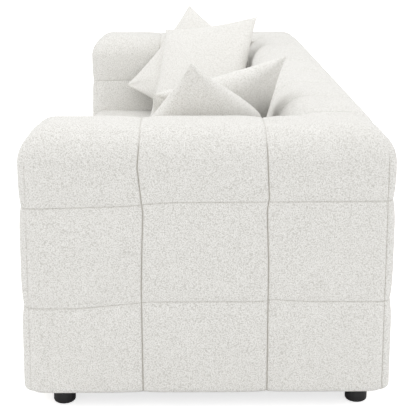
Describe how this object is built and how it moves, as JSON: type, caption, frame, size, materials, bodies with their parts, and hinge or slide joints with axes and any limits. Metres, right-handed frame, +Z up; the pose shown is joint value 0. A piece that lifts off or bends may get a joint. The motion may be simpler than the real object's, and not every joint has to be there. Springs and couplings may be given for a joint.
{
  "type": "tuxedo sofa",
  "caption": "Tuxedo sofa: box arms as high as the back, quilted in square sewn panels, on low round feet, with loose throw pillows.",
  "frame": {"origin": "on the floor, under the middle of the sofa", "axes": "+Z up, +X along the sofa's length towards the arm on a sitter's left, the seat's open front faces -Y"},
  "size_m": [2.28, 0.94, 0.8683],
  "materials": {
    "boucle": "off-white looped boucle over foam and wadding",
    "pillow_boucle": "off-white looped boucle, knife-edge seams",
    "timber": "planed pine and plywood, unfinished",
    "elastic_webbing": "woven elastic webbing",
    "dust_cloth": "black spun-bonded cloth",
    "foot_plastic": "black moulded plastic, fine matt grain",
    "zinc_steel": "zinc-plated steel"
  },
  "bodies": {
    "sofa": {"back_cap": "boucle", "back_front_panel": "boucle", "back_lower_rail": "timber", "back_rib_inner_left": "timber", "back_rib_inner_right": "timber", "back_rib_left": "timber", "back_rib_right": "timber", "back_top_board": "timber", "center_foot": "foot_plastic", "center_foot_bolt": "zinc_steel", "center_rail": "timber", "cross_webbing_front": "elastic_webbing", "cross_webbing_rear": "elastic_webbing", "dust_cover": "dust_cloth", "front_border_panel": "boucle", "front_left_corner_block": "timber", "front_left_foot": "foot_plastic", "front_left_foot_bolt": "zinc_steel", "front_rail": "timber", "front_right_corner_block": "timber", "front_right_foot": "foot_plastic", "front_right_foot_bolt": "zinc_steel", "left_arm_cap": "boucle", "left_arm_front_board": "timber", "left_arm_front_panel": "boucle", "left_arm_inner_panel": "boucle", "left_arm_outer_panel": "boucle", "left_arm_pull_rail": "timber", "left_arm_rear_board": "timber", "left_arm_top_board": "timber", "left_end_rail": "timber", "rear_left_corner_block": "timber", "rear_left_foot": "foot_plastic", "rear_left_foot_bolt": "zinc_steel", "rear_panel": "boucle", "rear_rail": "timber", "rear_right_corner_block": "timber", "rear_right_foot": "foot_plastic", "rear_right_foot_bolt": "zinc_steel", "right_arm_cap": "boucle", "right_arm_front_board": "timber", "right_arm_front_panel": "boucle", "right_arm_inner_panel": "boucle", "right_arm_outer_panel": "boucle", "right_arm_pull_rail": "timber", "right_arm_rear_board": "timber", "right_arm_top_board": "timber", "right_end_rail": "timber", "seat_pad": "boucle", "seat_webbing_1": "elastic_webbing", "seat_webbing_2": "elastic_webbing", "seat_webbing_3": "elastic_webbing", "seat_webbing_4": "elastic_webbing", "seat_webbing_5": "elastic_webbing", "seat_webbing_6": "elastic_webbing", "seat_webbing_7": "elastic_webbing"},
    "left_inner_pillow": {"left_inner_pillow": "pillow_boucle"},
    "left_outer_pillow": {"left_outer_pillow": "pillow_boucle"},
    "right_inner_pillow": {"right_inner_pillow": "pillow_boucle"},
    "right_outer_pillow": {"right_outer_pillow": "pillow_boucle"}
  },
  "joints": [
    {"name": "left_inner_pillow_lift", "type": "slide", "parent": "sofa", "child": "left_inner_pillow", "axis": [0.7537, -0.4352, 0.4925], "range_m": [0, 0.4]},
    {"name": "left_outer_pillow_lift", "type": "slide", "parent": "sofa", "child": "left_outer_pillow", "axis": [-0.3574, 0.3574, 0.8629], "range_m": [0, 0.55]},
    {"name": "right_inner_pillow_lift", "type": "slide", "parent": "sofa", "child": "right_inner_pillow", "axis": [-0.7537, -0.4352, 0.4925], "range_m": [0, 0.4]},
    {"name": "right_outer_pillow_lift", "type": "slide", "parent": "sofa", "child": "right_outer_pillow", "axis": [0.3574, 0.3574, 0.8629], "range_m": [0, 0.55]}
  ]
}
